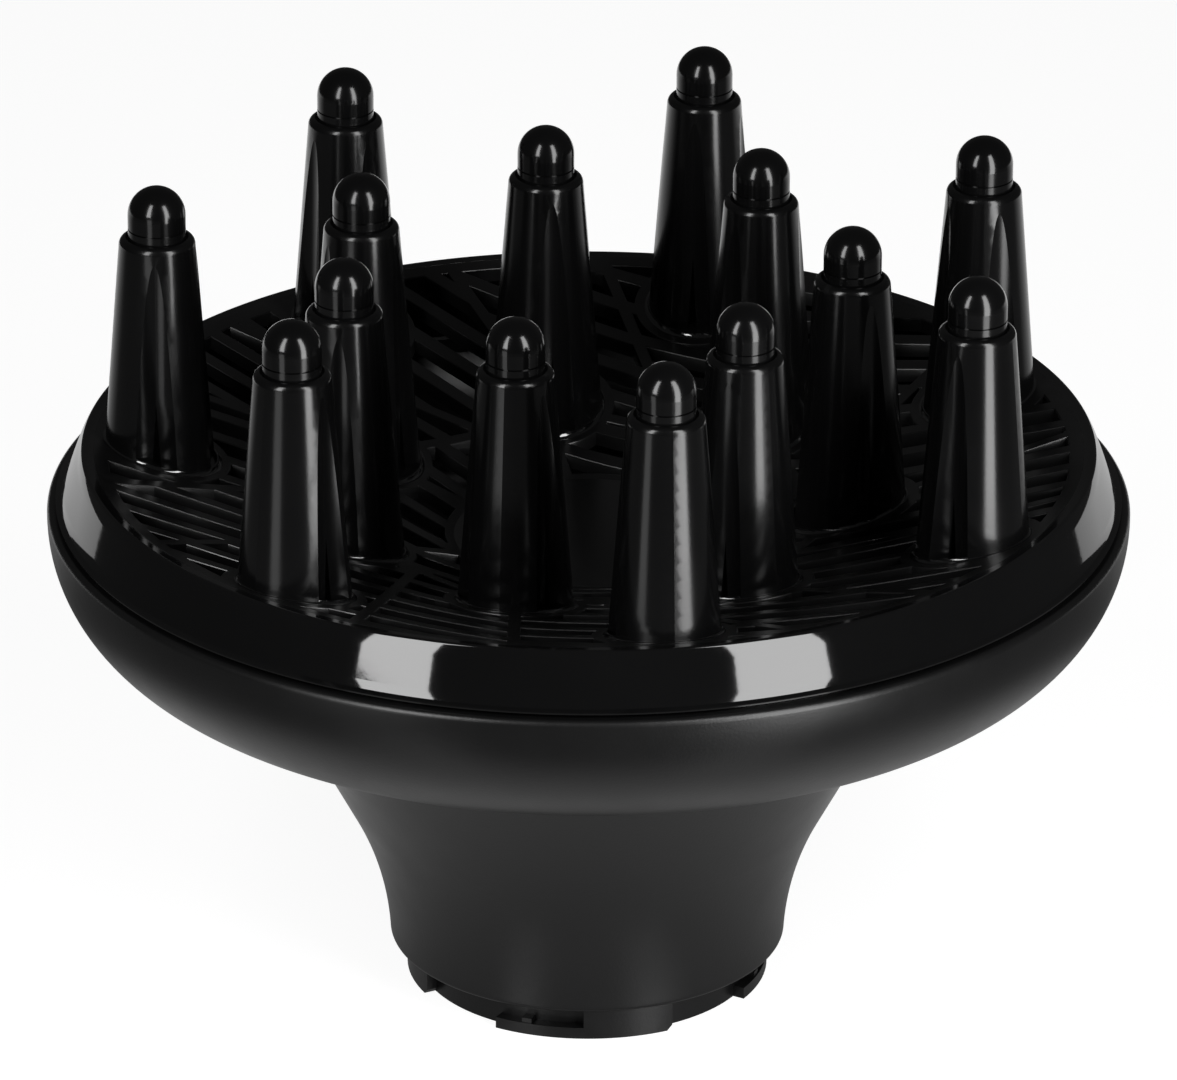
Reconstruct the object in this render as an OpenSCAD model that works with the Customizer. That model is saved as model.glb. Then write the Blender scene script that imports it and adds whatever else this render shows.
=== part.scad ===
// Finger diffuser for a hair dryer.
// A matte bowl with a trumpet neck carries a bayonet collar at its foot and a glossy, dished
// faceplate at its mouth.  Fourteen hollow fluted fingers stand on the plate in two rings of
// seven, each closed by its own domed tip.  Sizes are in millimetres.
// +Z is up, the origin is on the axis at the bottom of the collar.

/* [Bowl] */
// Widest diameter of the bowl, just under its lip
bowl_d = 150; // [120:1:180]
// Thickness of the bowl wall
bowl_wall = 2.2; // [1.6:0.1:3]
// Height of the lip's top face
lip_z = 71.6; // [60:0.1:90]
// Rounding of the lip's outer edge
lip_round = 1.6; // [0.4:0.1:2]
// Radius of the bulge under the lip
bulge_r = 19.3; // [12:0.1:26]
// Radius of the hollow where the bowl turns into the neck
root_r = 15; // [8:0.5:20]
// Lean of the neck flank from upright
flank_a = 28; // [15:1:40]
// Height where the straight flank ends and the trumpet curve begins
trumpet_z = 25.5; // [18:0.1:32]
// Radius of the trumpet curve
trumpet_r = 47.9; // [35:0.1:60]
// Height of the neck's bottom face
neck_z = 5.1; // [3:0.1:9]
// Rounding of the neck's bottom edge
neck_round = 0.8; // [0.2:0.1:1.2]
// Width of the shelf inside the bowl wall, which carries the faceplate
shelf_w = 2.6; // [1:0.1:5]
// Drop from the lip's top face to the shelf
shelf_drop = 4.8; // [3:0.1:8]
// Thickness of the shelf
shelf_t = 2; // [1:0.1:4]

/* [Collar] */
// Wall left round the collar at the neck's bottom face
seat_wall = 2.23; // [1.4:0.01:3]
// Height the collar reaches up into the neck
seat_h = 7.9; // [5:0.1:12]
// Width of the flange that hangs on the seat
flange_w = 0.7; // [0.4:0.1:1.2]
// Thickness of the flange
flange_t = 1.5; // [1:0.1:3]
// Wall of the ring between the lugs
ring_wall = 2.2; // [1.4:0.1:3]
// How far a lug stands out from the ring
lug_out = 1.7; // [1:0.1:3]
// Clearance between the lugs and the bore that the neck gives them
lug_gap = 0.1; // [0.05:0.05:0.5]
// Number of bayonet lugs
lug_n = 4; // [3:1:6]
// Direction of the middle of the first lug
lug_az = 269; // [0:1:360]
// Angle of the full-height block of a lug
block_a = 29; // [15:1:35]
// Angle of the low arm of a lug
arm_a = 29; // [15:1:35]
// Height of the low arm
arm_h = 1.65; // [1:0.05:3]
// Chamfer at the free corner of the block
lug_chamfer = 0.8; // [0.2:0.1:1.5]
// Angle from the block to the detent bump on the arm
detent_a = 20; // [8:1:25]
// Angle the detent bump spans
detent_span = 3.2; // [1.5:0.1:6]
// Distance of the detent bump inside the arm's outer face
detent_inset = 0.2; // [0.1:0.05:0.6]
// Height of the detent bump above the arm
detent_h = 0.7; // [0.3:0.1:1.2]

/* [Faceplate] */
// Height of the glossy band, from its foot to the plate's edge
band_h = 7.5; // [4:0.1:12]
// How far the plate's edge stands in from the band's foot
band_lean = 3.7; // [1:0.1:6]
// Rounding of the plate's edge
edge_round = 0.4; // [0.2:0.1:1.2]
// Step from the bowl's widest line in to the band's foot
band_inset = 1.2; // [0.5:0.1:3]
// Groove between the lip and the band's foot
groove_h = 0.8; // [0.3:0.1:1.5]
// Width of the flare at the band's foot
flare_w = 1.05; // [0.3:0.05:2]
// Height of the flare at the band's foot
flare_h = 0.75; // [0.3:0.05:2]
// Height of the upright land under the flare
land_h = 0.25; // [0.1:0.05:0.6]
// Clearance between the bowl wall and the skirt inside it
skirt_gap = 0.5; // [0.1:0.1:1]
// Thickness of the skirt
skirt_t = 1.5; // [1:0.1:2.5]
// Thickness of the dished plate, measured upright
plate_t = 2; // [1.4:0.1:3]
// Depth of the flat middle below the plate's edge
dish_depth = 14.1; // [8:0.1:20]
// Radius of the flat middle
floor_r = 18.7; // [12:0.1:25]
// Width of the rim between the plate's edge and the dished face
rim_w = 1.7; // [1:0.1:4]
// Drop of the dished face's end below the plate's edge
dish_drop = 0.55; // [0:0.05:1.5]

/* [Grille] */
// Plain border between the flat middle and the first slots
plain_w = 1.3; // [0.5:0.1:5]
// Plain border between the slots and the rim
border_w = 2; // [1:0.1:5]
// Width of a slot
slot_w = 3.8; // [1:0.1:6]
// Distance from one slot to the next
slot_pitch = 6.1; // [2:0.1:10]
// Width of the ribs between the fields of slots
rib_w = 1.8; // [1:0.1:4]
// Radius of the plain pad round each finger
pad_r = 9.8; // [8.5:0.1:13]
// How far the rib crossings stand in from the inner ring of fingers
cross_inset = 5.1; // [2:0.1:9]
// Angle from an inner finger to the next crossing
cross_a = 18; // [10:0.5:40]
// Radius of the solid hub where the ribs cross
hub_r = 2.6; // [1.5:0.1:5]
// Angle the rib from an inner finger gains on its way to the edge
swirl_in = 8; // [0:0.5:20]
// Angle from an inner finger to the edge end of the rib from the crossing
swirl_out = 41; // [25:0.5:45]
// Slot directions in the seven fields round the outer fingers
wide_dir = [-8, -25, -40, -10, -22, -6, -3]; // [-90:1:90]
// Slot directions in the seven narrow outer fields
narrow_dir = [-20, -28, -35, -14, -30, -4, -6]; // [-90:1:90]
// Slot directions in the seven inner fields
inner_dir = [-20, -23, -40, -38, -30, 0, -12]; // [-90:1:90]

/* [Fingers] */
// Number of fingers in each ring
ring_n = 7; // [5:1:9]
// Direction of the first outer finger
outer_az = 22.7; // [0:0.1:51]
// Distance from the rim in to the outer ring
finger_inset = 8.9; // [7:0.1:14]
// Distance from the outer ring to the inner ring
ring_gap = 23.4; // [16:0.1:30]
// Height of the outer fingers' shoulders above the plate's edge
outer_finger_h = 28.8; // [15:0.1:45]
// Height of the inner fingers' shoulders above the plate's edge
inner_finger_h = 25.2; // [12:0.1:42]
// Radius of a finger at its shoulder
shoulder_r = 5.2; // [4:0.1:7]
// Rounding of the shoulder
shoulder_round = 1.1; // [0.4:0.1:1.5]
// Gain in radius per millimetre down a finger
finger_taper = 0.08; // [0.03:0.01:0.12]
// Radius of the flute cutter
flute_r = 4.5; // [3:0.1:7]
// Depth of a flute at the foot of a finger
flute_depth = 2; // [1:0.1:2.5]
// Distance from the shoulder to the top of a flute
flute_start = 2.4; // [1:0.1:6]
// Flute directions on an outer finger, from straight outward
outer_flutes = [91, 181, 269]; // [0:1:360]
// Flute directions on an inner finger, from straight outward
inner_flutes = [60, 180, 300]; // [0:1:360]
// Width of an air slot at its foot
vent_w = 1.9; // [0.8:0.1:3]
// Height of an air slot
vent_h = 13; // [6:0.5:20]
// Radius of the hollow at the foot of a finger
hollow_foot_r = 4.9; // [3:0.1:6]
// Radius of the hollow under the head of a finger
hollow_head_r = 3; // [2.5:0.1:4]
// Length of the solid head of a finger
head_h = 6.5; // [5:0.1:10]

/* [Tips] */
// Radius of a domed tip
tip_r = 4; // [3:0.1:4.5]
// Height of the tip's straight side above the shoulder
tip_side_h = 3.2; // [2:0.1:5]
// Radius of the socket in the shoulder
socket_r = 4.35; // [4:0.05:5]
// Depth of the socket in the shoulder
socket_h = 0.6; // [0.3:0.1:1.5]
// Radius of the stem in the finger's head
stem_r = 2.4; // [1.5:0.1:3]
// Length of the stem
stem_h = 5; // [3:0.1:6]
// Height of the fine ring line above the shoulder
line_z = 1.1; // [0.6:0.1:2]
// Width and depth of the ring line
line_w = 0.24; // [0.1:0.01:0.4]

/* [Hidden] */
$fn = 96;
cut = 1;                                   // how far a cutter runs past the face it opens
tall = 140;                                // taller than the whole diffuser
bowl_r = bowl_d / 2;
bulge_z = lip_z - lip_round;
bulge_c = [bowl_r - bulge_r, bulge_z];
root_c = [bulge_c[0], bulge_z - bulge_r - root_r];
flank_dir = [-cos(flank_a), sin(flank_a)];
flank_top = root_c + root_r * flank_dir;
flank_foot = [flank_top[0] - (flank_top[1] - trumpet_z) * tan(flank_a), trumpet_z];
trumpet_c = flank_foot - trumpet_r * flank_dir;
seat_r = trumpet_at(neck_z, 0) - seat_wall;
seat_z = neck_z + seat_h;
flange_r = seat_r + flange_w;
lug_r = seat_r - lug_gap;
ring_r = lug_r - lug_out;
bore_r = ring_r - ring_wall;
shelf_r = bowl_r - bowl_wall - shelf_w;
shelf_z = lip_z - shelf_drop;
skirt_r = bowl_r - bowl_wall - skirt_gap;
band_r = bowl_r - band_inset;
band_z = lip_z + groove_h;
edge_r = band_r - band_lean;
edge_z = band_z + band_h;
dish_r = edge_r - rim_w;
floor_z = edge_z - dish_depth;
plain_r = floor_r + plain_w;
grille_r = dish_r - border_w;
outer_ring_r = dish_r - finger_inset;
inner_ring_r = outer_ring_r - ring_gap;
cross_r = inner_ring_r - cross_inset;
outer_shoulder_z = edge_z + outer_finger_h;
inner_shoulder_z = edge_z + inner_finger_h;
dish_slope = (edge_z - dish_drop - floor_z) / (dish_r - floor_r);
step_a = 360 / ring_n;
inner_az = outer_az - step_a / 2;

// ---- helpers -------------------------------------------------------------------------------

function polar(r, a) = [r * cos(a), r * sin(a)];
// radius of the bowl's trumpet curve at height z, for a face set in by t
function trumpet_at(z, t) =
  trumpet_c[0] - sqrt(pow(trumpet_r + t, 2) - pow(z - trumpet_c[1], 2));
function dish_z(r) = floor_z + max(0, r - floor_r) * dish_slope;

// the sliver of a circle that lies beyond the chord from p to q
module lens(p, q, c, r) {
  away = (p + q) / 2 - c;
  intersection() {
    translate(c) circle(r = r);
    polygon([p, q, q + away * r / norm(away), p + away * r / norm(away)]);
  }
}

// ---- bowl ----------------------------------------------------------------------------------

// half section of the bowl from the axis out to its outer face, set in by t
module bowl_section(t) {
  foot = [trumpet_at(neck_z, t), neck_z];
  low = flank_foot + t * flank_dir;
  high = flank_top + t * flank_dir;
  under = [bulge_c[0], bulge_z - bulge_r + t];
  side = [bowl_r - t, bulge_z];
  difference() {
    union() {
      polygon([[0, neck_z], foot, low, high, under, side, [side[0], lip_z], [0, lip_z]]);
      lens(under, side, bulge_c, bulge_r - t);
    }
    lens(foot, low, trumpet_c, trumpet_r + t);
    lens(high, under, root_c, root_r + t);
  }
}

module bowl_shell() {
  foot_r = trumpet_at(neck_z, 0);
  color([0.12, 0.12, 0.13]) rotate_extrude() {
    difference() {
      bowl_section(0);
      bowl_section(bowl_wall);
      translate([0, neck_z - cut]) square([seat_r, seat_z - neck_z + cut]);
      translate([0, lip_z - cut]) square([bowl_r - bowl_wall, 2 * cut]);
      // rounded outer edge of the lip
      difference() {
        translate([bowl_r - lip_round, lip_z - lip_round])
          square([lip_round + cut, lip_round + cut]);
        translate([bowl_r - lip_round, lip_z - lip_round]) circle(r = lip_round);
      }
      // rounded bottom edge of the neck
      difference() {
        translate([foot_r - neck_round, neck_z - cut])
          square([neck_round + cut, neck_round + cut]);
        translate([foot_r - neck_round, neck_z + neck_round]) circle(r = neck_round);
      }
    }
    seat_web();
    shelf();
  }
}

// thickened foot of the neck that grips the collar
module seat_web() {
  difference() {
    translate([seat_r, neck_z]) square([bowl_wall, seat_z - neck_z]);
    translate([trumpet_at(neck_z, bowl_wall / 2), neck_z - cut]) square([bowl_wall, seat_z]);
  }
}

// ring inside the bowl that carries the faceplate's skirt
module shelf() {
  translate([shelf_r, shelf_z - shelf_t])
    square([bowl_r - bowl_wall / 2 - lip_round / 2 - shelf_r, shelf_t]);
}

// ---- collar --------------------------------------------------------------------------------

// ring sector between two radii and two angles, z from 0 up to h
module sector(r_in, r_out, a, h) {
  rotate_extrude(angle = a) translate([r_in, 0]) square([r_out - r_in, h]);
}

module lug() {
  inner = (ring_r + bore_r) / 2;
  difference() {
    rotate(-arm_a) sector(inner, lug_r, arm_a + block_a, neck_z);
    // window above the low arm
    translate([0, 0, arm_h]) rotate(-arm_a - block_a)
      sector(bore_r, seat_r, arm_a + block_a, neck_z);
    // chamfer at the free lower corner of the block
    rotate(block_a) translate([ring_r, 0, 0]) rotate([0, 45, 90])
      cube([lug_chamfer * sqrt(2), 2 * lug_r, lug_chamfer * sqrt(2)], center = true);
  }
  translate([0, 0, arm_h / 2]) rotate(-detent_a)
    sector(inner, lug_r - detent_inset, detent_span, arm_h / 2 + detent_h);
}
module bayonet_collar() {
  color([0.13, 0.13, 0.14]) {
    rotate_extrude() difference() {
      union() {
        square([ring_r, neck_z + cut]);
        translate([0, neck_z]) square([seat_r, seat_z - neck_z]);
        translate([0, seat_z]) square([flange_r, flange_t]);
      }
      translate([0, -cut]) square([bore_r, tall]);
    }
    for (i = [0 : lug_n - 1]) rotate(lug_az + i * 360 / lug_n) lug();
  }
}

// ---- faceplate -----------------------------------------------------------------------------

module plate_section() {
  under_z = floor_z - plate_t;
  difference() {
    union() {
      polygon([
        [0, under_z], [skirt_r, under_z], [skirt_r, band_z], [band_r, band_z],
        [band_r, band_z + land_h], [band_r - flare_w, band_z + land_h + flare_h],
        [edge_r, edge_z - edge_round], [edge_r - edge_round, edge_z],
        [dish_r, edge_z - dish_drop], [floor_r, floor_z], [0, floor_z]
      ]);
      translate([edge_r - edge_round, edge_z - edge_round]) circle(r = edge_round);
    }
    // hollow under the dish, inside the skirt
    polygon([
      [floor_r, under_z - cut], [floor_r, under_z],
      [dish_r - skirt_t, dish_z(dish_r - skirt_t) - plate_t],
      [skirt_r - skirt_t, band_z + skirt_t], [skirt_r - skirt_t, shelf_z],
      [skirt_r + cut, shelf_z], [skirt_r + cut, under_z - cut]
    ]);
  }
}

// one field of parallel slots inside a straight-sided outline
module field(outline, dir) {
  middle = [for (k = [0, 1])
    (outline[0][k] + outline[1][k] + outline[2][k] + outline[3][k]) / 4];
  reach = grille_r / 1.6;
  rows = ceil(reach / slot_pitch);
  intersection() {
    polygon(outline);
    translate(middle) rotate(dir) for (i = [-rows : rows])
      translate([-reach, i * slot_pitch - slot_w / 2]) square([2 * reach, slot_w]);
  }
}

module rib(p, q) {
  along = q - p;
  translate(p) rotate(atan2(along[1], along[0]))
    translate([0, -rib_w / 2]) square([norm(along), rib_w]);
}

// the openings of the grille, seen from above
module grille() {
  far = grille_r + slot_pitch;
  difference() {
    intersection() {
      circle(r = grille_r);
      for (i = [0 : ring_n - 1]) {
        a = inner_az + i * step_a;
        here = polar(inner_ring_r, a);
        next = polar(inner_ring_r, a + step_a);
        cross = polar(cross_r, a + cross_a);
        field([here, polar(far, a + swirl_in), polar(far, a + swirl_out), cross], wide_dir[i]);
        field([cross, polar(far, a + swirl_out), polar(far, a + step_a + swirl_in), next],
              narrow_dir[i]);
        field([here, cross, next, polar(plain_r / 4, a + step_a / 2)], inner_dir[i]);
      }
    }
    circle(r = plain_r);
    for (i = [0 : ring_n - 1]) {
      a = inner_az + i * step_a;
      here = polar(inner_ring_r, a);
      cross = polar(cross_r, a + cross_a);
      translate(here) circle(r = pad_r);
      translate(polar(outer_ring_r, outer_az + i * step_a)) circle(r = pad_r);
      rib(here, polar(far, a + swirl_in));
      rib(cross, polar(far, a + swirl_out));
      rib(here, cross);
      rib(cross, polar(inner_ring_r, a + step_a));
      rib(polar(plain_r / 2, a), here);
      translate(cross) circle(r = hub_r);
    }
  }
}

module faceplate() {
  color([0.05, 0.05, 0.06]) difference() {
    rotate_extrude() plate_section();
    translate([0, 0, floor_z - plate_t - cut]) linear_extrude(height = dish_depth + plate_t + 2 * cut)
      grille();
    for (i = [0 : ring_n - 1]) {
      at_ring(outer_ring_r, outer_az, i) finger_cone(outer_shoulder_z, outer_ring_r);
      at_ring(inner_ring_r, inner_az, i) finger_cone(inner_shoulder_z, inner_ring_r);
    }
  }
}

// ---- fingers -------------------------------------------------------------------------------

module at_ring(r, az, i) {
  rotate(az + i * step_a) translate([r, 0, 0]) children();
}

function finger_r(shoulder_z, z) = shoulder_r + finger_taper * (shoulder_z - z);
// lowest height a finger standing at radius r has to reach
function finger_foot(r) = dish_z(r - shoulder_r * 2) - plate_t - cut;

module finger_cone(shoulder_z, r) {
  foot_z = finger_foot(r);
  side = [finger_r(shoulder_z, shoulder_z - shoulder_round), shoulder_z - shoulder_round];
  top = [side[0] - shoulder_round, shoulder_z];
  rotate_extrude() {
    polygon([[0, foot_z], [finger_r(shoulder_z, foot_z), foot_z], side, top, [0, shoulder_z]]);
    lens(side, top, [top[0], side[1]], shoulder_round);
  }
}

// everything above the plate's top face, or t below it
module above_plate(t) {
  rotate_extrude() polygon([
    [0, floor_z - t], [floor_r, floor_z - t], [dish_r, edge_z - dish_drop - t],
    [bowl_r, edge_z - dish_drop - t], [bowl_r, tall], [0, tall]
  ]);
}

module flutes(shoulder_z, r, dirs) {
  foot_z = finger_foot(r);
  top_z = shoulder_z - flute_start;
  top_x = finger_r(shoulder_z, top_z) + flute_r;
  foot_x = finger_r(shoulder_z, foot_z) - flute_depth + flute_r;
  lean = atan2(foot_x - top_x, top_z - foot_z);
  for (a = dirs) {
    rotate(a) translate([foot_x, 0, foot_z]) rotate([0, -lean, 0])
      cylinder(r = flute_r, h = (top_z - foot_z + head_h) / cos(lean));
    rotate(a) translate([stem_r, 0, foot_z]) rotate([90, 0, 90])
      linear_extrude(height = foot_x) polygon([
        [-vent_w / 2, 0], [vent_w / 2, 0], [0, vent_h + plate_t]
      ]);
  }
}

module finger(r, az, i, shoulder_z, dirs) {
  foot_z = finger_foot(r);
  neck = shoulder_z - head_h;
  color([0.06, 0.06, 0.07]) difference() {
    intersection() {
      at_ring(r, az, i) finger_cone(shoulder_z, r);
      above_plate(plate_t);
    }
    intersection() {
      at_ring(r, az, i) flutes(shoulder_z, r, dirs);
      above_plate(0);
    }
    at_ring(r, az, i) rotate_extrude() {
      polygon([
        [0, foot_z - cut], [hollow_foot_r, foot_z - cut], [hollow_head_r, neck],
        [stem_r, neck], [stem_r, shoulder_z - socket_h], [socket_r, shoulder_z - socket_h],
        [socket_r, shoulder_z + cut], [0, shoulder_z + cut]
      ]);
    }
  }
}

module tip(r, az, i, shoulder_z) {
  seat = shoulder_z - socket_h;
  dome = shoulder_z + tip_side_h;
  color([0.04, 0.04, 0.05]) at_ring(r, az, i) rotate_extrude() difference() {
    union() {
      translate([0, seat - stem_h]) square([stem_r, stem_h + cut]);
      translate([0, seat]) square([tip_r, dome - seat]);
      intersection() {
        translate([0, dome]) circle(r = tip_r);
        translate([0, dome]) square([tip_r, tip_r]);
      }
    }
    translate([tip_r - line_w, shoulder_z + line_z]) square([tip_r, line_w]);
  }
}

module outer_finger(i) finger(outer_ring_r, outer_az, i, outer_shoulder_z, outer_flutes);
module inner_finger(i) finger(inner_ring_r, inner_az, i, inner_shoulder_z, inner_flutes);
module outer_tip(i) tip(outer_ring_r, outer_az, i, outer_shoulder_z);
module inner_tip(i) tip(inner_ring_r, inner_az, i, inner_shoulder_z);

module outer_finger_1() outer_finger(0);
module outer_finger_2() outer_finger(1);
module outer_finger_3() outer_finger(2);
module outer_finger_4() outer_finger(3);
module outer_finger_5() outer_finger(4);
module outer_finger_6() outer_finger(5);
module outer_finger_7() outer_finger(6);
module outer_tip_1() outer_tip(0);
module outer_tip_2() outer_tip(1);
module outer_tip_3() outer_tip(2);
module outer_tip_4() outer_tip(3);
module outer_tip_5() outer_tip(4);
module outer_tip_6() outer_tip(5);
module outer_tip_7() outer_tip(6);
module inner_finger_1() inner_finger(0);
module inner_finger_2() inner_finger(1);
module inner_finger_3() inner_finger(2);
module inner_finger_4() inner_finger(3);
module inner_finger_5() inner_finger(4);
module inner_finger_6() inner_finger(5);
module inner_finger_7() inner_finger(6);
module inner_tip_1() inner_tip(0);
module inner_tip_2() inner_tip(1);
module inner_tip_3() inner_tip(2);
module inner_tip_4() inner_tip(3);
module inner_tip_5() inner_tip(4);
module inner_tip_6() inner_tip(5);
module inner_tip_7() inner_tip(6);

bowl_shell();
faceplate();
bayonet_collar();
outer_finger_1();
outer_finger_2();
outer_finger_3();
outer_finger_4();
outer_finger_5();
outer_finger_6();
outer_finger_7();
inner_finger_1();
inner_finger_2();
inner_finger_3();
inner_finger_4();
inner_finger_5();
inner_finger_6();
inner_finger_7();
outer_tip_1();
outer_tip_2();
outer_tip_3();
outer_tip_4();
outer_tip_5();
outer_tip_6();
outer_tip_7();
inner_tip_1();
inner_tip_2();
inner_tip_3();
inner_tip_4();
inner_tip_5();
inner_tip_6();
inner_tip_7();
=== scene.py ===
"""Looks of the hair dryer diffuser: finished plastics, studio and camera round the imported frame.

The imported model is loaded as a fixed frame.  Each operator below dresses or builds one group of
pieces, and main() calls them in order.  Lengths are in metres and angles in radians.
"""

import math

import bmesh
import bpy
from bpy.props import FloatProperty, FloatVectorProperty, IntProperty, PointerProperty
from mathutils import Matrix, Vector


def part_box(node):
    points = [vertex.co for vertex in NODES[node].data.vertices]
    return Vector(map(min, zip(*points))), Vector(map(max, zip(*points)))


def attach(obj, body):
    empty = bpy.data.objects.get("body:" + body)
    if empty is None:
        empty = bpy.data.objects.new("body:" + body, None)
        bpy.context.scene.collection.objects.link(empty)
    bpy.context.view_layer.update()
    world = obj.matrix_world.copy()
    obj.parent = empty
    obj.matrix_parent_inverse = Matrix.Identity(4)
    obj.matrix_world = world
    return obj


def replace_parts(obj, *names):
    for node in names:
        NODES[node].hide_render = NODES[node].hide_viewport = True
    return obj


bl_info = {
    "name": "Dryer Diffuser",
    "version": (1, 0, 0),
    "blender": (4, 5, 0),
    "location": "View3D > Sidebar > Diffuser",
    "description": "Builds the looks of a hair dryer diffuser round its packed frame",
    "category": "Object",
}

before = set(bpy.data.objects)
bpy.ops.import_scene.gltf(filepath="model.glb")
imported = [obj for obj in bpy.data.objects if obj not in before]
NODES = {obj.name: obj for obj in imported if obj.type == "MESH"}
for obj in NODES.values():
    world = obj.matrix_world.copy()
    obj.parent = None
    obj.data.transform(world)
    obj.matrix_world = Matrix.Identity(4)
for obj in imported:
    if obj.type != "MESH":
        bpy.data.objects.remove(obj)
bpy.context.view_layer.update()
# fingers on each ring
RING = 7
# corners this close are welded, and places this close count as the same
WELD = 2e-6
NEAR = 2e-5


# ---- sizes and colours ---------------------------------------------------------------------


class DiffuserFinish(bpy.types.PropertyGroup):
    """Colours and roughness of the plastics."""

    shell_colour: FloatVectorProperty(
        name="Shell colour", description="Matte black of the bowl and its neck",
        subtype="COLOR", default=(0.0035, 0.0035, 0.0036), min=0, max=1,
    )
    shell_roughness: FloatProperty(
        name="Shell roughness", description="Roughness of the matte shell",
        default=0.34, min=0, max=1, subtype="FACTOR",
    )
    shell_ior: FloatProperty(
        name="Shell IOR", description="Index of refraction of the matte shell",
        default=1.51, min=1, max=2.5,
    )
    plate_colour: FloatVectorProperty(
        name="Plate colour", description="Glossy black of the faceplate",
        subtype="COLOR", default=(0.003, 0.003, 0.0031), min=0, max=1,
    )
    plate_roughness: FloatProperty(
        name="Plate roughness", description="Roughness of the glossy rim of the faceplate",
        default=0.05, min=0, max=1, subtype="FACTOR",
    )
    dish_roughness: FloatProperty(
        name="Dish roughness", description="Roughness of the satin dish inside the rim",
        default=0.28, min=0, max=1, subtype="FACTOR",
    )
    plate_ior: FloatProperty(
        name="Plate IOR", description="Index of refraction of the glossy faceplate",
        default=1.56, min=1, max=2.5,
    )
    finger_colour: FloatVectorProperty(
        name="Finger colour", description="Satin black of the fingers",
        subtype="COLOR", default=(0.0025, 0.0025, 0.0026), min=0, max=1,
    )
    finger_roughness: FloatProperty(
        name="Finger roughness", description="Roughness of the fingers",
        default=0.19, min=0, max=1, subtype="FACTOR",
    )
    finger_ior: FloatProperty(
        name="Finger IOR", description="Index of refraction of the fingers and tips",
        default=1.45, min=1, max=2.5,
    )
    foot_ior: FloatProperty(
        name="Foot IOR", description="Index of refraction of the fillets at the fingers' feet",
        default=1.8, min=1, max=2.5,
    )
    foot_roughness: FloatProperty(
        name="Foot roughness", description="Roughness of those fillets",
        default=0.08, min=0, max=1, subtype="FACTOR",
    )
    tip_roughness: FloatProperty(
        name="Tip roughness", description="Roughness of the domed tips",
        default=0.15, min=0, max=1, subtype="FACTOR",
    )


class DiffuserBowl(bpy.types.PropertyGroup):
    """Sizes of the bowl and its flared neck."""

    radius: FloatProperty(
        name="Bowl radius", description="Radius of the bowl at its lip, a hair under the frame",
        default=0.07498, min=0.02, unit="LENGTH", subtype="DISTANCE",
    )
    wall: FloatProperty(
        name="Wall", description="Thickness of the bowl's wall",
        default=0.0022, min=0, unit="LENGTH", subtype="DISTANCE",
    )
    lip_height: FloatProperty(
        name="Lip height", description="Height of the bowl's lip",
        default=0.0714, min=0, unit="LENGTH", subtype="DISTANCE",
    )
    lip_round: FloatProperty(
        name="Lip rounding", description="Rounding of the lip's outer edge",
        default=0.0009, min=0, unit="LENGTH", subtype="DISTANCE",
    )
    lip_inner_round: FloatProperty(
        name="Inner lip rounding", description="Rounding of the lip's inner edge",
        default=0.0003, min=0, unit="LENGTH", subtype="DISTANCE",
    )
    bulge_height: FloatProperty(
        name="Bulge height", description="Height at which the bowl is widest",
        default=0.07, min=0, unit="LENGTH", subtype="DISTANCE",
    )
    bulge_radius: FloatProperty(
        name="Bulge radius", description="Radius of the bowl's rounded side",
        default=0.0193, min=0, unit="LENGTH", subtype="DISTANCE",
    )
    root_radius: FloatProperty(
        name="Root radius", description="Radius of the hollow curve where bowl and neck meet",
        default=0.015, min=0, unit="LENGTH", subtype="DISTANCE",
    )
    flank_angle: FloatProperty(
        name="Flank angle", description="Lean of the straight part of the neck",
        default=math.radians(28), unit="ROTATION", subtype="ANGLE",
    )
    trumpet_height: FloatProperty(
        name="Trumpet height", description="Height at which the neck's lower curve starts",
        default=0.0255, min=0, unit="LENGTH", subtype="DISTANCE",
    )
    trumpet_radius: FloatProperty(
        name="Trumpet radius", description="Radius of the neck's lower curve",
        default=0.0479, min=0, unit="LENGTH", subtype="DISTANCE",
    )
    neck_height: FloatProperty(
        name="Neck height", description="Height of the lower edge of the neck",
        default=0.0051, min=0, unit="LENGTH", subtype="DISTANCE",
    )
    neck_round: FloatProperty(
        name="Neck rounding", description="Rounding of the lower edge of the neck",
        default=0.0008, min=0, unit="LENGTH", subtype="DISTANCE",
    )
    seat_wall: FloatProperty(
        name="Seat wall", description="Thickness of the foot of the neck round the collar",
        default=0.00223, min=0, unit="LENGTH", subtype="DISTANCE",
    )
    seat_height: FloatProperty(
        name="Seat height", description="Height of the top of that foot",
        default=0.013, min=0, unit="LENGTH", subtype="DISTANCE",
    )
    shelf_width: FloatProperty(
        name="Shelf width", description="Width of the ring inside the bowl under the plate's skirt",
        default=0.0026, min=0, unit="LENGTH", subtype="DISTANCE",
    )
    shelf_height: FloatProperty(
        name="Shelf height", description="Height of the top of that ring",
        default=0.0668, min=0, unit="LENGTH", subtype="DISTANCE",
    )
    shelf_thickness: FloatProperty(
        name="Shelf thickness", description="Thickness of that ring",
        default=0.002, min=0, unit="LENGTH", subtype="DISTANCE",
    )


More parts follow.
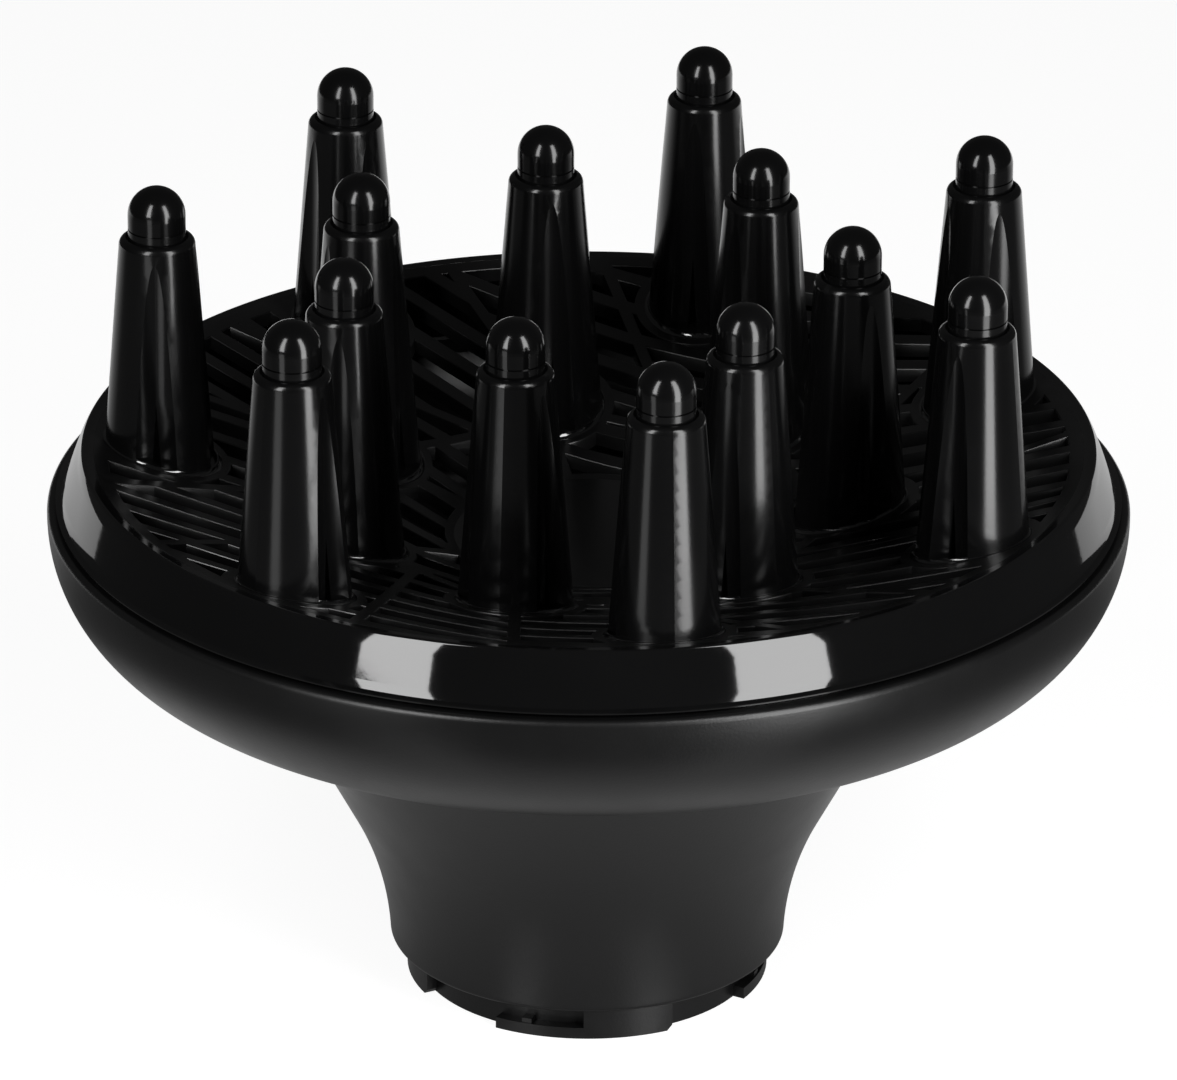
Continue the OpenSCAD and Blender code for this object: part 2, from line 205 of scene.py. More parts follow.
class DiffuserPlate(bpy.types.PropertyGroup):
    """Sizes of the faceplate's dish and rim and of the feet that stand in the dish."""

    floor_radius: FloatProperty(
        name="Floor radius", description="Radius of the flat middle of the dish",
        default=0.0187, min=0.001, unit="LENGTH", subtype="DISTANCE",
    )
    dish_radius: FloatProperty(
        name="Dish radius", description="Radius at which the dish meets the rim",
        default=0.0684, min=0.01, unit="LENGTH", subtype="DISTANCE",
    )
    floor_height: FloatProperty(
        name="Floor height", description="Height of the flat middle of the dish",
        default=0.0658, min=0, unit="LENGTH", subtype="DISTANCE",
    )
    rim_height: FloatProperty(
        name="Rim height", description="Height of the dish where it meets the rim",
        default=0.07935, min=0, unit="LENGTH", subtype="DISTANCE",
    )
    rim_radius: FloatProperty(
        name="Rim radius", description="Radius of the rim just under its rounded edge",
        default=0.07015, min=0.01, unit="LENGTH", subtype="DISTANCE",
    )
    rim_top: FloatProperty(
        name="Rim top", description="Height at which the rim has that radius",
        default=0.0793, min=0, unit="LENGTH", subtype="DISTANCE",
    )
    lip_slope: FloatProperty(
        name="Lip slope", description="Rise over run of the narrow lip inside the rim",
        default=0.15, min=0, max=2,
    )
    rim_round: FloatProperty(
        name="Rim rounding", description="Rounding of the rim's upper edge",
        default=0.00032, min=0, unit="LENGTH", subtype="DISTANCE",
    )
    crown_angle: FloatProperty(
        name="Crown lean", description="Lean of the band just under the rim's edge",
        default=math.radians(29.5), unit="ROTATION", subtype="ANGLE",
    )
    crown_radius: FloatProperty(
        name="Crown radius", description="Radius of the band's rounded upper part",
        default=0.011, min=0, unit="LENGTH", subtype="DISTANCE",
    )
    band_angle: FloatProperty(
        name="Band lean", description="Lean of the band's straight middle",
        default=math.radians(21), unit="ROTATION", subtype="ANGLE",
    )
    cove_angle: FloatProperty(
        name="Cove lean", description="Lean of the band at its foot",
        default=math.radians(28), unit="ROTATION", subtype="ANGLE",
    )
    cove_radius: FloatProperty(
        name="Cove radius", description="Radius of the band's hollow lower part",
        default=0.010, min=0, unit="LENGTH", subtype="DISTANCE",
    )
    cove_height: FloatProperty(
        name="Cove height", description="Height of the foot of the band, over its ledge",
        default=0.07242, min=0, unit="LENGTH", subtype="DISTANCE",
    )
    band_radius: FloatProperty(
        name="Band radius", description="Largest radius of the plate",
        default=0.0738, min=0.01, unit="LENGTH", subtype="DISTANCE",
    )
    band_height: FloatProperty(
        name="Band height", description="Height of the underside of the band",
        default=0.07194, min=0, unit="LENGTH", subtype="DISTANCE",
    )
    land_height: FloatProperty(
        name="Land height", description="Height of the upright land at the foot of the band",
        default=0.0002, min=0, unit="LENGTH", subtype="DISTANCE",
    )
    skirt_radius: FloatProperty(
        name="Skirt radius", description="Radius of the skirt that sits in the bowl",
        default=0.0723, min=0.01, unit="LENGTH", subtype="DISTANCE",
    )
    skirt_foot: FloatProperty(
        name="Skirt foot", description="Height of the lower edge of the skirt",
        default=0.0668, min=0, unit="LENGTH", subtype="DISTANCE",
    )
    skirt_wall: FloatProperty(
        name="Skirt wall", description="Thickness of the skirt",
        default=0.0015, min=0, unit="LENGTH", subtype="DISTANCE",
    )
    plate_wall: FloatProperty(
        name="Plate wall", description="Thickness of the dish",
        default=0.002, min=0, unit="LENGTH", subtype="DISTANCE",
    )
    mouth_round: FloatProperty(
        name="Mouth rounding", description="Rounding of the edges of the slots",
        default=0.00016, min=0, unit="LENGTH", subtype="DISTANCE",
    )
    wedges: IntProperty(
        name="Wedges", description="Straight stretches that the dish is made of", default=120, min=8,
    )
    foot_round: FloatProperty(
        name="Foot rounding", description="Fillet where a finger meets the dish",
        default=0.0005, min=0, unit="LENGTH", subtype="DISTANCE",
    )
    finger_radius: FloatProperty(
        name="Finger radius", description="Radius of a finger at its shoulder",
        default=0.0052, min=0, unit="LENGTH", subtype="DISTANCE",
    )
    finger_taper: FloatProperty(
        name="Finger taper", description="Gain of a finger's radius over its height", default=0.08,
    )


class DiffuserStudio(bpy.types.PropertyGroup):
    """Camera, floor and softboxes."""

    camera_distance: FloatProperty(
        name="Camera distance", description="From the camera to the middle of the plate's edge",
        default=1.3662, min=0.3, unit="LENGTH", subtype="DISTANCE",
    )
    camera_elevation: FloatProperty(
        name="Camera elevation", description="Height angle of the camera over the plate's edge",
        default=math.radians(23.2), unit="ROTATION", subtype="ANGLE",
    )
    camera_tilt: FloatProperty(
        name="Camera tilt", description="How far the camera looks below the plate's edge",
        default=math.radians(0.585), unit="ROTATION", subtype="ANGLE",
    )
    camera_roll: FloatProperty(
        name="Camera roll", description="Turn of the camera about its line of sight",
        default=math.radians(0.2), unit="ROTATION", subtype="ANGLE",
    )
    camera_lens: FloatProperty(
        name="Lens", description="Focal length on a 36 mm wide sensor", default=302.3, min=20,
        subtype="DISTANCE_CAMERA",
    )
    plate_edge: FloatProperty(
        name="Plate edge height", description="Height of the point that the camera is set by",
        default=0.0799, unit="LENGTH", subtype="DISTANCE",
    )
    left_turn: FloatProperty(
        name="Left turn", description="Direction of the left softbox, from the camera's side",
        default=math.radians(37.8), unit="ROTATION", subtype="ANGLE",
    )
    right_turn: FloatProperty(
        name="Right turn", description="Direction of the right softbox, from the camera's side",
        default=math.radians(38.0), unit="ROTATION", subtype="ANGLE",
    )
    softbox_distance: FloatProperty(
        name="Softbox distance", description="From the diffuser's axis to a softbox",
        default=0.36, min=0.1, unit="LENGTH", subtype="DISTANCE",
    )
    left_width: FloatProperty(
        name="Left width", description="Width of the left softbox", default=0.093,
        unit="LENGTH", subtype="DISTANCE",
    )
    right_width: FloatProperty(
        name="Right width", description="Width of the right softbox", default=0.119,
        unit="LENGTH", subtype="DISTANCE",
    )
    softbox_top: FloatProperty(
        name="Softbox top", description="Height of the upper edge of a softbox", default=0.56,
        unit="LENGTH", subtype="DISTANCE",
    )
    left_foot: FloatProperty(
        name="Left foot", description="Height of the lower edge of the left softbox",
        default=0.147, unit="LENGTH", subtype="DISTANCE",
    )
    low_foot: FloatProperty(
        name="Low foot", description="Height of the lower edge of the right softbox and the strips",
        default=0.005, unit="LENGTH", subtype="DISTANCE",
    )
    left_strip_top: FloatProperty(
        name="Left strip top", description="Height of the upper edge of the left strip",
        default=0.10, unit="LENGTH", subtype="DISTANCE",
    )
    right_strip_top: FloatProperty(
        name="Right strip top", description="Height of the upper edge of the right strip",
        default=0.045, unit="LENGTH", subtype="DISTANCE",
    )
    left_strip_share: FloatProperty(
        name="Left strip share", description="Brightness of the left strip, as a share of a softbox's",
        default=0.15, min=0, subtype="FACTOR",
    )
    right_strip_share: FloatProperty(
        name="Right strip share", description="Brightness of the right strip, as a share of a softbox's",
        default=0.4, min=0, subtype="FACTOR",
    )
    strip_nearness: FloatProperty(
        name="Strip nearness", description="Distance and width of a strip, as a share of a softbox's",
        default=0.7, min=0.1, subtype="FACTOR",
    )
    softbox_radiance: FloatProperty(
        name="Softbox brightness", description="Light per area and angle of a softbox",
        default=9.5, min=0,
    )
    floor_radius: FloatProperty(
        name="Floor radius", description="Radius of the round floor", default=0.75,
        unit="LENGTH", subtype="DISTANCE",
    )


# ---- materials -----------------------------------------------------------------------------


class Nodes:
    """A material's node tree, with short ways to add and join nodes."""

    def __init__(self, name):
        self.material = bpy.data.materials.new(name)
        self.material.use_nodes = True
        self.tree = self.material.node_tree
        self.tree.nodes.clear()
        self.out = self.add("ShaderNodeOutputMaterial")

    def add(self, kind, **settings):
        node = self.tree.nodes.new(kind)
        for key, value in settings.items():
            setattr(node, key, value)
        return node

    def join(self, source, target):
        self.tree.links.new(source, target)

    def noise(self, place, scale, detail=3.0, roughness=0.5):
        node = self.add("ShaderNodeTexNoise")
        node.inputs["Scale"].default_value = scale
        node.inputs["Detail"].default_value = detail
        node.inputs["Roughness"].default_value = roughness
        self.join(place, node.inputs["Vector"])
        return node.outputs["Fac"]

    def spread(self, value, low, high, start=0.3, end=0.7):
        """The value from start to end, laid out from low to high."""
        node = self.add("ShaderNodeMapRange")
        for name, number in (("From Min", start), ("From Max", end), ("To Min", low), ("To Max", high)):
            node.inputs[name].default_value = number
        self.join(value, node.inputs["Value"])
        return node.outputs["Result"]

    def combine(self, first, second, operation="ADD"):
        node = self.add("ShaderNodeMath", operation=operation)
        self.join(first, node.inputs[0])
        self.join(second, node.inputs[1])
        return node.outputs[0]


def plastic(name, colour, roughness, ior, texture_scale, texture_depth, wave_depth=0.0, inside=None):
    """Moulded black plastic: fine surface texture, slow waviness, smears and rubbed edges.

    inside is (radius, roughness) where the middle of a round piece has a roughness of its own.
    """
    n = Nodes(name)
    place = n.add("ShaderNodeTexCoord").outputs["Object"]
    shader = n.add("ShaderNodeBsdfPrincipled")
    shader.inputs["IOR"].default_value = ior
    # slow change of colour over the moulding, and lighter rubbed edges
    cloud = n.noise(place, 38.0, 4.0)
    tone = n.add("ShaderNodeMix", data_type="RGBA")
    n.join(n.spread(cloud, 0.0, 1.0), tone.inputs["Factor"])
    tone.inputs["A"].default_value = (*(c * 0.85 for c in colour), 1.0)
    tone.inputs["B"].default_value = (*(c * 1.15 for c in colour), 1.0)
    edge = n.add("ShaderNodeNewGeometry").outputs["Pointiness"]
    rubbed = n.combine(
        n.spread(edge, 0.0, 0.5, 0.53, 0.62), n.spread(n.noise(place, 260.0), 0.0, 1.0), "MULTIPLY"
    )
    worn = n.add("ShaderNodeMix", data_type="RGBA")
    n.join(rubbed, worn.inputs["Factor"])
    n.join(tone.outputs["Result"], worn.inputs["A"])
    worn.inputs["B"].default_value = (*(c * 2.2 + 0.004 for c in colour), 1.0)
    n.join(worn.outputs["Result"], shader.inputs["Base Color"])
    # smears make the gloss uneven
    smear = n.noise(place, 75.0, 5.0, 0.6)
    rough = n.spread(smear, roughness * 0.88, roughness * 1.14)
    if inside:
        flat = n.add("ShaderNodeVectorMath", operation="MULTIPLY")
        n.join(place, flat.inputs[0])
        flat.inputs[1].default_value = (1, 1, 0)
        reach = n.add("ShaderNodeVectorMath", operation="LENGTH")
        n.join(flat.outputs[0], reach.inputs[0])
        radius, satin = inside
        beyond = radius + 0.0004
        rough = n.combine(
            rough, n.spread(reach.outputs["Value"], satin - roughness, 0.0, radius, beyond)
        )
    n.join(n.combine(rough, n.spread(edge, 0.0, 0.06, 0.53, 0.62)), shader.inputs["Roughness"])
    # texture of the tool, and the slow waviness of a moulding
    fine = n.add("ShaderNodeBump")
    fine.inputs["Strength"].default_value = 0.35
    fine.inputs["Distance"].default_value = texture_depth
    n.join(n.noise(place, texture_scale, 2.0), fine.inputs["Height"])
    if wave_depth:
        wave = n.add("ShaderNodeBump")
        wave.inputs["Strength"].default_value = 0.5
        wave.inputs["Distance"].default_value = wave_depth
        n.join(n.noise(place, 60.0, 1.0), wave.inputs["Height"])
        n.join(wave.outputs["Normal"], fine.inputs["Normal"])
    n.join(fine.outputs["Normal"], shader.inputs["Normal"])
    n.join(shader.outputs["BSDF"], n.out.inputs["Surface"])
    return n.material


def dress(node, material):
    """Gives a carried-over node its finish."""
    mesh = node.data
    mesh.materials.clear()
    mesh.materials.append(material)


# ---- meshes --------------------------------------------------------------------------------


def make_piece(name, bm, material, crease=30.0):
    """Turns bm into a smooth piece that keeps its sharp edges and rides on the diffuser."""
    bm.normal_update()
    for face in bm.faces:
        face.smooth = True
    for edge in bm.edges:
        edge.smooth = edge.is_manifold and edge.calc_face_angle() < math.radians(crease)
    mesh = bpy.data.meshes.new(name)
    bm.to_mesh(mesh)
    bm.free()
    mesh.materials.append(material)
    piece = bpy.data.objects.new(name, mesh)
    bpy.context.scene.collection.objects.link(piece)
    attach(piece, "root")
    return piece


def turned_normals(mesh):
    """Gives the faces that were turned about the diffuser's axis the normals of that surface."""
    normals = []
    for face in mesh.polygons:
        out = face.center.xy.normalized()
        lean = face.normal.xy
        width = math.copysign(lean.length, lean.dot(out))
        turned = abs(out.cross(lean)) < 0.02
        for index in face.vertices:
            place = mesh.vertices[index].co.xy
            if turned and place.length > 0.001:
                normals.append((*(place.normalized() * width), face.normal.z))
            else:
                normals.append((0, 0, 0))
    mesh.normals_split_custom_set(normals)


class Section:
    """The closed half section of a turned piece, drawn as a chain of lines and arcs."""

    def __init__(self, radius, height, rounding=0.0):
        self.bm = bmesh.new()
        self.first = self.last = self.bm.verts.new((radius, 0, height))
        self.corners = [(self.first, rounding)] if rounding else []

    def line(self, radius, height, rounding=0.0):
        vert = self.bm.verts.new((radius, 0, height))
        self.bm.edges.new((self.last, vert))
        self.last = vert
        if rounding:
            self.corners.append((vert, rounding))

    def arc(self, centre, turn, steps):
        spun = bmesh.ops.spin(
            self.bm, geom=[self.last], cent=(centre.x, 0, centre.y), axis=(0, -1, 0),
            dvec=(0, 0, 0), angle=turn, steps=steps, use_merge=False,
        )
        self.last = next(part for part in spun["geom_last"] if isinstance(part, bmesh.types.BMVert))

    def turn(self, name, material, slot, steps=256):
        """Closes the section, rounds its corners and spins it round the diffuser's axis."""
        bm = self.bm
        bm.edges.new((self.last, self.first))
        for vert, rounding in self.corners:
            bmesh.ops.bevel(
                bm, geom=[vert], offset=rounding, offset_type="OFFSET", segments=8,
                profile=0.5, affect="VERTICES", material=-1,
            )
        bmesh.ops.spin(
            bm, geom=bm.verts[:] + bm.edges[:], cent=(0, 0, 0), axis=(0, 0, 1), dvec=(0, 0, 0),
            angle=2 * math.pi, steps=steps, use_merge=True,
        )
        bmesh.ops.recalc_face_normals(bm, faces=bm.faces)
        piece = make_piece(name, bm, material)
        soft = piece.modifiers.new("wide faces lead", "WEIGHTED_NORMAL")
        soft.keep_sharp = True
        return piece


def dish_rise(plate, place):
    """How far the dish lies above its flat middle at this place, seen from above."""
    slope = (plate.rim_height - plate.floor_height) / (plate.dish_radius - plate.floor_radius)
    return slope * max(0.0, min(place.xy.length, plate.dish_radius) - plate.floor_radius)


def outward(angle):
    """The way square to a band that leans by this angle, in the half section."""
    return Vector((math.cos(angle), math.sin(angle)))


def downward(angle):
    """The way down a band that leans by this angle, in the half section."""
    return Vector((math.sin(angle), -math.cos(angle)))


# ---- operators -----------------------------------------------------------------------------


class DIFFUSER_OT_shell(bpy.types.Operator):
    """Build the matte bowl and finish its collar"""

    bl_idname = "diffuser.shell"
    bl_label = "Bowl and collar"

    def execute(self, context):
        finish = context.scene.diffuser_finish
        matte = plastic(
            "matte_shell", finish.shell_colour, finish.shell_roughness, finish.shell_ior,
            texture_scale=2600.0, texture_depth=0.00004,
        )
        dress(NODES["bayonet_collar"], matte)
        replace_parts(self.bowl(context.scene.diffuser_bowl, matte), "bowl_shell")
        return {"FINISHED"}

    def bowl(self, bowl, material):
        """The bowl with its neck: two curved walls, joined at the lip and at the foot."""
        bulge = Vector((bowl.radius - bowl.bulge_radius, bowl.bulge_height))
        root = bulge - Vector((0, bowl.bulge_radius + bowl.root_radius))
        flank = Vector((-math.cos(bowl.flank_angle), math.sin(bowl.flank_angle)))
        top = root + bowl.root_radius * flank
        drop = top.y - bowl.trumpet_height
        low = top - Vector((drop * math.tan(bowl.flank_angle), drop))
        trumpet = low - bowl.trumpet_radius * flank
        wall = bowl.wall
        # how far the trumpet curve turns from the flank down to a height, outside and inside
        outer = bowl.flank_angle - math.asin((bowl.neck_height - trumpet.y) / bowl.trumpet_radius)
        reach = bowl.trumpet_radius + wall
        inner = bowl.flank_angle - math.asin((bowl.seat_height - trumpet.y) / reach)
        foot = trumpet.x - bowl.trumpet_radius * math.cos(bowl.flank_angle - outer)
        inside = bowl.bulge_radius - wall
        shelf = bowl.radius - wall - bowl.shelf_width
        shelf_top = math.asin((bulge.y - bowl.shelf_height) / inside)
        shelf_low = math.asin((bulge.y - bowl.shelf_height + bowl.shelf_thickness) / inside)
        ring = Section(foot, bowl.neck_height, bowl.neck_round)
        ring.arc(trumpet, -outer, 16)
        ring.line(*top)
        ring.arc(root, bowl.flank_angle - math.pi / 2, 24)
        ring.arc(bulge, math.pi / 2, 40)
        ring.line(bowl.radius, bowl.lip_height, bowl.lip_round)
        ring.line(bowl.radius - wall, bowl.lip_height, bowl.lip_inner_round)
        ring.line(bowl.radius - wall, bowl.bulge_height)
        ring.arc(bulge, -shelf_top, 4)
        ring.line(shelf, bowl.shelf_height)
        ring.line(shelf, bowl.shelf_height - bowl.shelf_thickness)
        ring.line(*(bulge + inside * Vector((math.cos(shelf_low), -math.sin(shelf_low)))))
        ring.arc(bulge, shelf_low - math.pi / 2, 24)
        ring.arc(root, math.pi / 2 - bowl.flank_angle, 20)
        ring.line(*(low + wall * flank))
        ring.arc(trumpet, inner, 8)
        ring.line(foot - bowl.seat_wall, bowl.seat_height)
        ring.line(foot - bowl.seat_wall, bowl.neck_height)
        return ring.turn("bowl", material, "bowl")


class DIFFUSER_OT_faceplate(bpy.types.Operator):
    """Build the faceplate with rounded slot edges in its dish"""

    bl_idname = "diffuser.faceplate"
    bl_label = "Faceplate"

    def execute(self, context):
        finish = context.scene.diffuser_finish
        plate = context.scene.diffuser_plate
        gloss = plastic(
            "gloss_plate", finish.plate_colour, finish.plate_roughness, finish.plate_ior,
            texture_scale=900.0, texture_depth=0.000004, wave_depth=0.00001,
            inside=(plate.dish_radius, finish.dish_roughness),
        )
        node = NODES["faceplate"]
        bm = bmesh.new()
        bm.from_mesh(node.data)
        bm.transform(node.matrix_world)
        bmesh.ops.remove_doubles(bm, verts=bm.verts, dist=WELD)
        # the dish is laid flat, so that its slots have plain outlines, and leant back at the end
        self.lean(bm, plate, -1)
        self.clear_faces(bm, plate)
        self.cut_rim(bm, plate)
        self.round_mouths(bm, plate)
        self.split_wedges(bm, plate)
        self.lean(bm, plate, 1)
        grille = make_piece("grille_plate", bm, gloss)
        turned_normals(grille.data)
        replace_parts(grille, "faceplate")
        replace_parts(self.rim(plate, gloss), "faceplate")
        return {"FINISHED"}

    def lean(self, bm, plate, way):
        """Leans the dish back as a cone (way 1) or lays it flat (way -1)."""
        for vert in bm.verts:
            vert.co.z += way * dish_rise(plate, vert.co)
        bm.normal_update()

    def clear_faces(self, bm, plate):
        """Joins the flat faces, and keeps the rings where the slope changes."""
        for edge in bm.edges:
            reach = [vert.co.xy.length for vert in edge.verts]
            edge.seam = any(
                max(abs(r - ring) for r in reach) < NEAR
                for ring in (plate.floor_radius, plate.dish_radius)
            )
        inside = [vert for vert in bm.verts if vert.co.xy.length < plate.dish_radius + NEAR]
        among = set(inside)
        bmesh.ops.dissolve_limit(
            bm, angle_limit=math.radians(0.6), verts=inside, delimit={"SEAM"},
            edges=[edge for edge in bm.edges if among.issuperset(edge.verts)],
        )
        bm.normal_update()

    def cut_rim(self, bm, plate):
        """Takes the rim and its skirt away, and closes the dish with a wall of its own."""
        rim = [face for face in bm.faces if not self.inside(face, plate)]
        bmesh.ops.delete(bm, geom=rim, context="FACES")
        ends = [edge for edge in bm.edges if edge.is_boundary]
        bmesh.ops.bridge_loops(bm, edges=ends)
        bmesh.ops.recalc_face_normals(bm, faces=bm.faces)
        bm.normal_update()

    def rim(self, plate, material):
        """The rim's edge, the band that is crowned above and hollow below, and the skirt."""
        crown, lean, cove = plate.crown_angle, plate.band_angle, plate.cove_angle
        edge = Vector((plate.rim_radius, plate.rim_top))
        # the lip inside the rim rises to where it meets the band's upper tangent
        slope = plate.lip_slope
        back = plate.rim_height + slope * (edge.x - plate.dish_radius) - edge.y
        corner = edge - downward(crown) * back / (math.cos(crown) + slope * math.sin(crown))
        top = edge - plate.crown_radius * outward(crown)
        above = top + plate.crown_radius * outward(lean)
        bend = plate.cove_radius * (math.sin(cove) - math.sin(lean))
        below = above + downward(lean) * (above.y - plate.cove_height - bend) / math.cos(lean)
        inner = plate.skirt_radius - plate.skirt_wall
        under = plate.dish_radius - plate.skirt_wall
        ring = Section(plate.dish_radius, plate.rim_height)
        ring.line(*corner, plate.rim_round)
        ring.line(*edge)
        ring.arc(top, lean - crown, 8)
        ring.line(*below)
        ring.arc(below + plate.cove_radius * outward(lean), cove - lean, 6)
        ring.line(plate.band_radius, plate.band_height + plate.land_height)
        ring.line(plate.band_radius, plate.band_height)
        ring.line(plate.skirt_radius, plate.band_height)
        ring.line(plate.skirt_radius, plate.skirt_foot)
        ring.line(inner, plate.skirt_foot)
        ring.line(inner, plate.band_height + plate.skirt_wall)
        rise = dish_rise(plate, Vector((under, 0, 0)))
        ring.line(under, plate.floor_height + rise - plate.plate_wall)
        return ring.turn("rim_band", material, "faceplate")

    def round_mouths(self, bm, plate):
        """Rounds each edge where the level dish turns down into the wall of a slot."""
        mouths = []
        for edge in bm.edges:
            level = all(
                abs(vert.co.z - plate.floor_height) < NEAR
                and vert.co.xy.length < plate.dish_radius - 5 * NEAR
                for vert in edge.verts
            )
            tilts = sorted(face.normal.z for face in edge.link_faces)
            if level and tilts[0] < 0.3 and tilts[-1] > 0.99:
                mouths.append(edge)
        if not mouths:
            raise RuntimeError("the dish has no slot edges")
        bmesh.ops.bevel(
            bm, geom=mouths, offset=plate.mouth_round, offset_type="OFFSET", segments=2,
            profile=0.5, affect="EDGES", material=-1,
        )

    def split_wedges(self, bm, plate):
        """Cuts the flat dish along its spokes, so that it can lean back as a cone."""
        cuts = plate.wedges // 2
        # the first cut is a part of a step round, so that none lies along an axis
        start = 0.37
        for i in range(cuts):
            turn = math.pi * (i + start) / cuts
            dish = [face for face in bm.faces if self.inside(face, plate)]
            parts = {part for face in dish for part in (*face.verts, *face.edges)}
            bmesh.ops.bisect_plane(
                bm, geom=[*parts, *dish], dist=1e-7,
                plane_co=(0, 0, 0), plane_no=(math.sin(turn), -math.cos(turn), 0),
            )

    def inside(self, face, plate):
        """Whether the face lies wholly inside the rim."""
        return all(vert.co.xy.length < plate.dish_radius + NEAR for vert in face.verts)


class DIFFUSER_OT_fingers(bpy.types.Operator):
    """Finish the fingers and their tips"""

    bl_idname = "diffuser.fingers"
    bl_label = "Fingers"

    def execute(self, context):
        finish = context.scene.diffuser_finish
        satin = plastic(
            "satin_finger", finish.finger_colour, finish.finger_roughness, finish.finger_ior,
            texture_scale=2200.0, texture_depth=0.000012,
        )
        gloss = plastic(
            "gloss_tip", finish.finger_colour, finish.tip_roughness, finish.finger_ior,
            texture_scale=900.0, texture_depth=0.000003,
        )
        glint = plastic(
            "gloss_foot", finish.finger_colour, finish.foot_roughness, finish.foot_ior,
            texture_scale=900.0, texture_depth=0.000003,
        )
        for ring in ("outer", "inner"):
            for i in range(1, RING + 1):
                dress(NODES[f"{ring}_finger_{i}"], satin)
                dress(NODES[f"{ring}_tip_{i}"], gloss)
                self.foot(f"{ring}_finger_{i}", context.scene.diffuser_plate, glint)
        return {"FINISHED"}

    def foot(self, name, plate, material):
        """The fillet ring between a finger and the sloping dish."""
        low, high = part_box(name)
        centre = (Vector(low) + Vector(high)) / 2
        shoulder = high[2]
        size, sunk = plate.foot_round, plate.foot_round / 4
        bm = bmesh.new()
        hub = bm.verts.new((size, 0, size))
        wall = bm.verts.new((0, 0, size))
        bmesh.ops.spin(
            bm, geom=[wall], cent=hub.co, axis=(0, -1, 0), dvec=(0, 0, 0), angle=math.pi / 2,
            steps=6, use_merge=False,
        )
        bm.verts.remove(hub)
        ends = [vert for vert in bm.verts if len(vert.link_edges) == 1]
        top = max(ends, key=lambda vert: vert.co.z)
        toe = min(ends, key=lambda vert: vert.co.z)
        back = bm.verts.new((-sunk, 0, size))
        corner = bm.verts.new((-sunk, 0, -sunk))
        sole = bm.verts.new((size, 0, -sunk))
        for pair in ((top, back), (back, corner), (corner, sole), (sole, toe)):
            bm.edges.new(pair)
        reach = plate.finger_radius + plate.finger_taper * (
            shoulder - plate.floor_height - dish_rise(plate, centre)
        )
        bmesh.ops.translate(bm, verts=bm.verts, vec=(reach, 0, 0))
        bmesh.ops.spin(
            bm, geom=bm.verts[:] + bm.edges[:], cent=(0, 0, 0), axis=(0, 0, 1), dvec=(0, 0, 0),
            angle=2 * math.pi, steps=64, use_merge=True,
        )
        for vert in bm.verts:
            rise = dish_rise(plate, centre + vert.co) - dish_rise(plate, centre)
            ray = vert.co.xy.normalized() * plate.finger_taper * (rise + vert.co.z)
            vert.co += Vector((centre.x - ray.x, centre.y - ray.y, plate.floor_height))
            vert.co.z += dish_rise(plate, centre) + rise
        bmesh.ops.recalc_face_normals(bm, faces=bm.faces)
        make_piece(name.replace("finger", "foot"), bm, material, crease=50.0)


